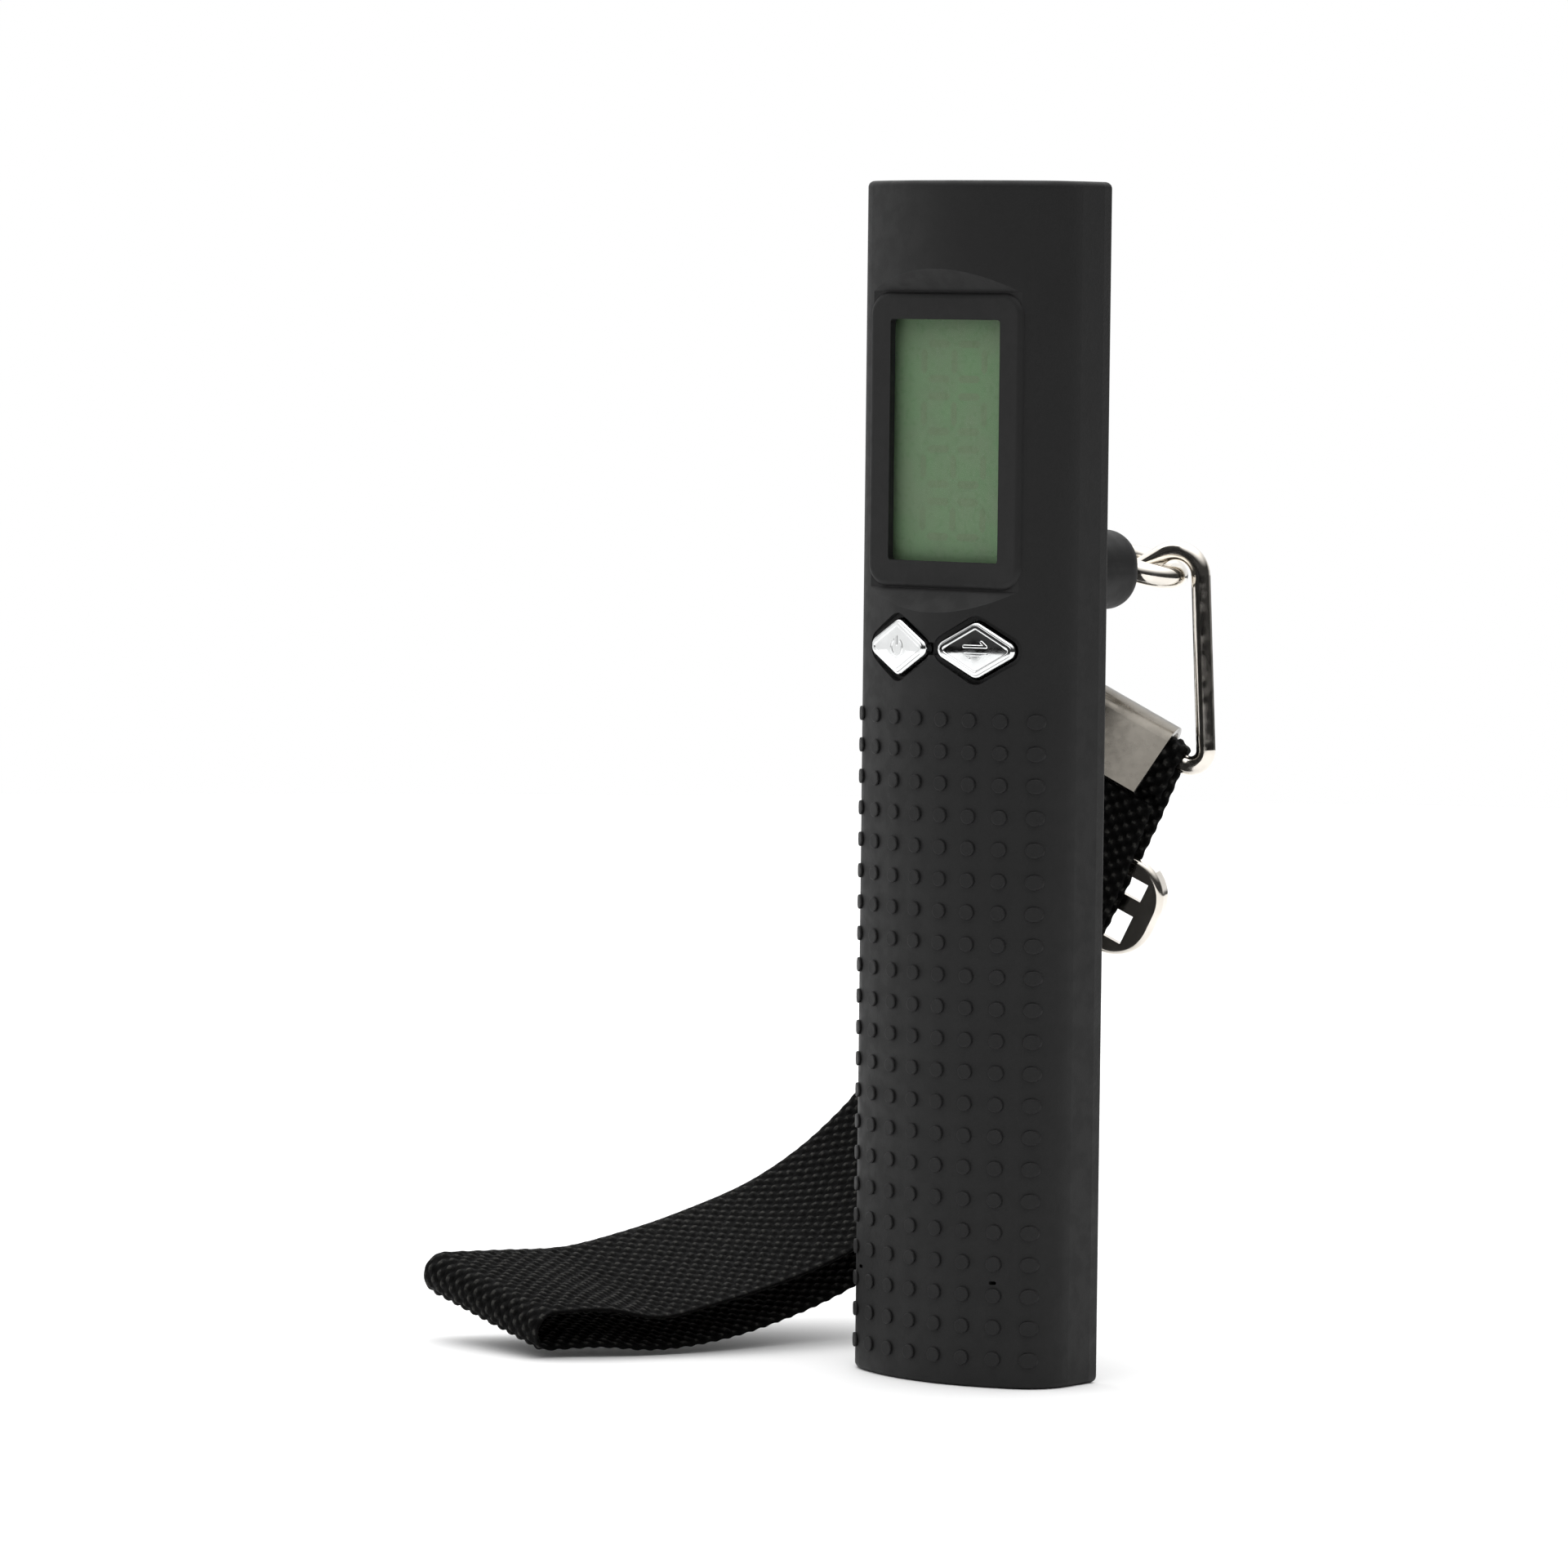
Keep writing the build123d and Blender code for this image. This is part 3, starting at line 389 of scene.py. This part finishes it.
def webbing():
    """Woven webbing as one closed mesh: staggered yarns on both faces and scalloped edges."""
    points, across, out, length = strap_line()
    along = unit(np.gradient(points, axis=0))
    across = unit(across)
    facing = unit(np.cross(across, along))
    facing *= np.sign(np.sum(facing * out, axis=1, keepdims=True))
    rows = len(points)
    run = np.linspace(0, length, rows)
    count = yarn_columns * yarn_samples + 1
    u = np.linspace(-1, 1, count)
    column = np.minimum((np.arange(count) / yarn_samples).astype(int), yarn_columns - 1)
    within = (np.arange(count) / yarn_samples - column) * 2 - 1
    round_yarn = np.sqrt(1 - 0.82 * within ** 2)
    phase = run[:, None] / (2 * pick) + 0.5 * (column % 2)[None, :]
    drift_rows = 6
    jitter = rng.normal(0, 0.035, (rows // drift_rows + 2, yarn_columns))
    slow = np.repeat(jitter, drift_rows, axis=0)[:rows][:, column]
    float_up = 0.5 + 0.5 * np.cos(2 * math.pi * (phase + slow))
    float_down = 1 - float_up
    edge = np.clip((np.abs(u) - 0.95) / 0.05, 0, 1)
    thin = np.sqrt(1 - 0.9 * edge ** 2)[None, :]
    edge_column = np.where((column == 0) | (column == yarn_columns - 1), 0.45, 1.0)[None, :]
    core, crown = 0.25 * mm, 0.40 * mm
    top = (core + crown * edge_column * round_yarn[None, :] * float_up ** 1.2) * thin
    bottom = -(core + crown * edge_column * round_yarn[None, :] * float_down ** 1.2) * thin
    scallop = np.stack([np.cos(math.pi * run / pick), np.cos(math.pi * run / pick + math.pi)], axis=1)
    half = strap_width / 2 - 0.07 * mm + 0.07 * mm * scallop
    sway = np.where(u[None, :] < 0, half[:, :1], half[:, 1:]) * u[None, :]
    upper = points[:, None] + across[:, None] * sway[..., None] + facing[:, None] * top[..., None]
    lower = points[:, None] + across[:, None] * sway[..., None] + facing[:, None] * bottom[..., None]
    ring = np.concatenate([upper, lower[:, -2:0:-1]], axis=1)
    size = ring.shape[1]
    height = np.concatenate([float_up * round_yarn, (float_down * round_yarn)[:, -2:0:-1]], axis=1)
    a = (np.arange(rows - 1)[:, None] * size + np.arange(size)[None, :]).ravel()
    b = (np.arange(rows - 1)[:, None] * size + (np.arange(size)[None, :] + 1) % size).ravel()
    quads = np.stack([a, b, b + size, a + size], axis=1)
    caps = []
    for base in (0, (rows - 1) * size):
        for i in range(1, count - 2):
            cap = [base + i, base + size - i, base + size - i - 1, base + i + 1]
            caps.append(cap if base == 0 else cap[::-1])
    for base in (0, (rows - 1) * size):
        for cap in ([base, base + size - 1, base + 1], [base + count - 2, base + count, base + count - 1]):
            caps.append(cap if base == 0 else cap[::-1])
    piece = new_piece("strap_webbing", ring.reshape(-1, 3), quads.tolist() + caps, looks["webbing"], "strap")
    mesh = piece.data
    mesh.attributes.new("crown", "FLOAT", "POINT").data.foreach_set(
        "value", height.reshape(-1).astype(np.float32))
    uv = mesh.uv_layers.new(name="UVMap")
    loops = np.empty(len(mesh.loops), int)
    mesh.loops.foreach_get("vertex_index", loops)
    around = (loops % size) / size * 2 * strap_width
    down = run[loops // size]
    uv.data.foreach_set("uv", (np.stack([around, down], axis=1) / 0.25).ravel().astype(np.float32))
    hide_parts("strap")


webbing()


# ---- button faces -----------------------------------------------------------------------------
button_x = 6.15 * mm
button_shift = 0.5 * mm
button_z = 92.5 * mm
button_half = (4.05 * mm, 2.3 * mm)
button_corner = 1.25 * mm
face_corner = button_corner - 0.33 * mm
front_radius = 26.8 * mm
dot_height = 0.36 * mm
body_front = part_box("front_housing")[0].y
arch_centre = body_front + dot_height + front_radius
face_rise = 0.12 * mm             # the plate's height over the arch's tangent plane


def diamond_distance(x, y):
    """How far a point lies outside a button's inner diamond."""
    a, b = button_half
    x, y = np.abs(x), np.abs(y)
    t = np.clip(((x - a) * -a + y * b) / (a * a + b * b), 0, 1)
    away = np.hypot(x - a + t * a, y - t * b)
    return np.where(x / a + y / b > 1, away, -away)


def stroke(x, y, start, end, width):
    """1 on a straight stroke, falling to 0 at its soft edge."""
    start, end = np.array(start) * mm, np.array(end) * mm
    run = end - start
    t = np.clip(((x - start[0]) * run[0] + (y - start[1]) * run[1]) / (run @ run), 0, 1)
    away = np.hypot(x - start[0] - t * run[0], y - start[1] - t * run[1])
    return np.clip((width * mm - away) / (0.06 * mm) + 0.5, 0, 1)


def power_mark(x, y):
    """The usual power sign: an open circle and a bar."""
    away = np.abs(np.hypot(x, y) - 1.05 * mm)
    circle = np.clip((0.13 * mm - away) / (0.06 * mm) + 0.5, 0, 1)
    circle = circle * ((np.abs(x) > 0.5 * mm) | (y < 0))
    return np.maximum(circle, stroke(x, y, (0, 0.3), (0, 1.35), 0.13))


def swap_mark(x, y):
    """Two opposed arrows, for changing over between units."""
    mark = np.zeros_like(x)
    for way in (1, -1):
        for start, end in (((-1.5, 0.5), (1.5, 0.5)), ((0.85, 1.05), (1.5, 0.5))):
            mark = np.maximum(mark, stroke(way * x, way * y, start, end, 0.16))
    return mark


def button_face(side, name, mark, depth, body):
    """A plated face with a raised rim, a slightly domed middle and an embossed mark."""
    spokes, rings = 300, 110
    turn = np.linspace(0, 2 * math.pi, spokes, endpoint=False)
    low, high = np.zeros(spokes), np.full(spokes, 6 * mm)
    for _ in range(40):
        mid = (low + high) / 2
        outside = diamond_distance(mid * np.cos(turn), mid * np.sin(turn)) > face_corner
        low, high = np.where(outside, low, mid), np.where(outside, mid, high)
    share = np.linspace(0, 1, rings) ** 0.9
    x = (share[:, None] * low * np.cos(turn)).ravel()
    y = (share[:, None] * low * np.sin(turn)).ravel()
    inside = np.clip((face_corner - diamond_distance(x, y)) / mm, 0, None)
    reach = np.repeat(share, spokes)
    rim = np.clip(inside / 0.12, 0, 1) * np.clip((0.62 - inside) / 0.14, 0, 1)
    rise = 0.03 + 0.11 * (3 * rim ** 2 - 2 * rim ** 3) + 0.10 * (1 - reach ** 2)
    rise -= 0.06 * np.clip(1 - inside / 0.08, 0, 1)
    rise += depth * mark(x, y)
    middle = button_shift + side * button_x
    lean = math.asin(middle / front_radius)
    origin = np.array((middle, arch_centre - math.sqrt(front_radius ** 2 - middle ** 2), button_z))
    right = np.array((math.cos(lean), math.sin(lean), 0))
    outward = np.array((math.sin(lean), -math.cos(lean), 0))
    points = (origin + x[:, None] * right + y[:, None] * np.array((0, 0, 1))
              + (face_rise - 0.05 * mm + rise[:, None] * mm) * outward)
    faces = []
    for i in range(1, rings - 1):
        for j in range(spokes):
            k = (j + 1) % spokes
            faces.append((i * spokes + j, (i + 1) * spokes + j, (i + 1) * spokes + k, i * spokes + k))
    faces += [(0, spokes + j, spokes + (j + 1) % spokes) for j in range(spokes)]
    piece = new_piece(name, points, faces, looks["button_chrome"], body)


button_face(-1, "power_button_face", power_mark, 0.03, "power_button")
button_face(1, "unit_button_face", swap_mark, 0.09, "unit_button")


# ---- display segments -------------------------------------------------------------------------
def segments():
    """Unlit seven-segment digits, read with the body lying on its side."""
    low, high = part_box("lcd_panel")
    centre_z = (low.z + high.z) / 2
    tall, wide, bar, pitch = 9.6 * mm, 4.4 * mm, 0.95 * mm, 6.6 * mm
    strokes = []
    for level in (0, 0.5, 1):
        strokes.append(((0, level * tall), (wide, level * tall)))
    for half in (0, 1):
        for edge in (0, wide):
            strokes.append(((edge, half * tall / 2), (edge, (half + 1) * tall / 2)))
    points, faces = [], []
    for digit in range(4):
        shift = (digit - 1.5) * pitch - wide / 2
        for (x0, y0), (x1, y1) in strokes:
            run = np.array((x1 - x0, y1 - y0))
            far = np.linalg.norm(run)
            run /= far
            side = np.array((-run[1], run[0]))
            start = np.array((x0, y0)) + run * bar * 0.62
            end = np.array((x1, y1)) - run * bar * 0.62
            outline = [start, start + run * bar / 2 + side * bar / 2, end - run * bar / 2 + side * bar / 2,
                       end, end - run * bar / 2 - side * bar / 2, start + run * bar / 2 - side * bar / 2]
            base = len(points)
            for px, py in outline:
                points.append((tall / 2 - py, low.y - 0.03 * mm, centre_z + shift + px))
            faces.append(tuple(range(base, base + 6)))
    piece = new_piece("lcd_segments", points, faces, segment_look(), "body", smooth=False)


segments()


# ---- floor, light and camera ------------------------------------------------------------------
def floor():
    """A plain pale floor."""
    reach, corners = 1.1, 96
    mesh = bpy.data.meshes.new("floor")
    turns = [2 * math.pi * k / corners for k in range(corners)]
    mesh.from_pydata([(reach * math.cos(t), reach * math.sin(t), 0) for t in turns], [], [range(corners)])
    look = Look("floor", Roughness=0.8)
    look.shader.inputs["Specular IOR Level"].default_value = 0.2
    look.paint(look.colours(look.noise(40, 3), (0.3, (0.90, 0.90, 0.90)), (0.7, (0.93, 0.93, 0.93))))
    mesh.materials.append(look.material)
    piece = bpy.data.objects.new("floor", mesh)
    scene.collection.objects.link(piece)


def surroundings():
    """White for the camera; for everything else a bright back and overhead and a dim front."""
    world = bpy.data.worlds.new("studio")
    scene.world = world
    world.use_nodes = True
    tree = world.node_tree
    tree.nodes.clear()

    def span(value, start, end, low, high):
        node = tree.nodes.new("ShaderNodeMapRange")
        node.interpolation_type = "SMOOTHSTEP"
        tree.links.new(value, node.inputs["Value"])
        for key, number in zip(("From Min", "From Max", "To Min", "To Max"), (start, end, low, high)):
            node.inputs[key].default_value = number
        return node.outputs["Result"]

    direction = tree.nodes.new("ShaderNodeTexCoord").outputs["Generated"]
    behind = tree.nodes.new("ShaderNodeVectorMath")
    behind.operation = "DOT_PRODUCT"
    tree.links.new(direction, behind.inputs[0])
    behind.inputs[1].default_value = (-0.62, 0.78, 0)         # away from the camera
    parts = tree.nodes.new("ShaderNodeSeparateXYZ")
    tree.links.new(direction, parts.inputs[0])
    level = tree.nodes.new("ShaderNodeMath")
    level.operation = "ADD"
    tree.links.new(span(behind.outputs["Value"], 0.15, 0.97, 0.06, 1.3), level.inputs[0])
    tree.links.new(span(parts.outputs["Z"], 0.30, 0.90, 0.0, 2.3), level.inputs[1])
    above = tree.nodes.new("ShaderNodeMath")
    above.operation = "MULTIPLY"
    tree.links.new(level.outputs[0], above.inputs[0])
    tree.links.new(span(parts.outputs["Z"], -0.03, 0.03, 0.1, 1.0), above.inputs[1])
    around = tree.nodes.new("ShaderNodeBackground")
    tree.links.new(above.outputs[0], around.inputs["Strength"])
    backdrop = tree.nodes.new("ShaderNodeBackground")
    backdrop.inputs["Color"].default_value = (1, 1, 1, 1)
    seen = tree.nodes.new("ShaderNodeMixShader")
    tree.links.new(tree.nodes.new("ShaderNodeLightPath").outputs["Is Camera Ray"], seen.inputs["Fac"])
    tree.links.new(around.outputs[0], seen.inputs[1])
    tree.links.new(backdrop.outputs[0], seen.inputs[2])
    tree.links.new(seen.outputs[0], tree.nodes.new("ShaderNodeOutputWorld").inputs["Surface"])


def softbox(name, azimuth, height, distance, width, tall, watts, aim=0.08):
    """A rectangular light at an azimuth from the front, turned to the object."""
    turn = math.radians(azimuth)
    light = bpy.data.lights.new(name, "AREA")
    light.shape = "RECTANGLE"
    light.size, light.size_y, light.energy = width, tall, watts
    lamp = bpy.data.objects.new(name, light)
    scene.collection.objects.link(lamp)
    lamp.location = (distance * math.sin(turn), -distance * math.cos(turn), height)
    lamp.rotation_euler = (Vector((0, 0, aim)) - lamp.location).to_track_quat("-Z", "Y").to_euler()
    lamp.visible_camera = False


def camera():
    """The photograph's viewpoint."""
    azimuth, distance, height = math.radians(38.4), 0.940, 0.136
    focal_pixels, frame_pixels = 9143, 1920
    turn, pitch, roll = math.radians(1.40), math.radians(-3.717), math.radians(0.62)
    heading = math.atan2(math.cos(azimuth), -math.sin(azimuth)) + turn
    level = math.cos(pitch)
    forward = Vector((math.cos(heading) * level, math.sin(heading) * level, math.sin(pitch)))
    right = forward.cross(Vector((0, 0, 1))).normalized()
    up = right.cross(forward)
    across = right * math.cos(roll) + up * math.sin(roll)
    upward = up * math.cos(roll) - right * math.sin(roll)
    data = bpy.data.cameras.new("camera")
    data.sensor_width = 36
    data.lens = 36 * focal_pixels / frame_pixels
    data.clip_start, data.clip_end = 0.05, 60
    viewer = bpy.data.objects.new("camera", data)
    scene.collection.objects.link(viewer)
    basis = Matrix((across, upward, -forward)).transposed().to_4x4()
    place = Vector((distance * math.sin(azimuth), -distance * math.cos(azimuth), height))
    viewer.matrix_world = Matrix.Translation(place) @ basis
    scene.camera = viewer


floor()
surroundings()
softbox("left_softbox", -62, 0.30, 0.9, 0.6, 0.6, 1.15)
softbox("overhead", 0, 1.3, 0.05, 1.2, 1.2, 3.0)
camera()
scene.view_settings.view_transform = "Standard"
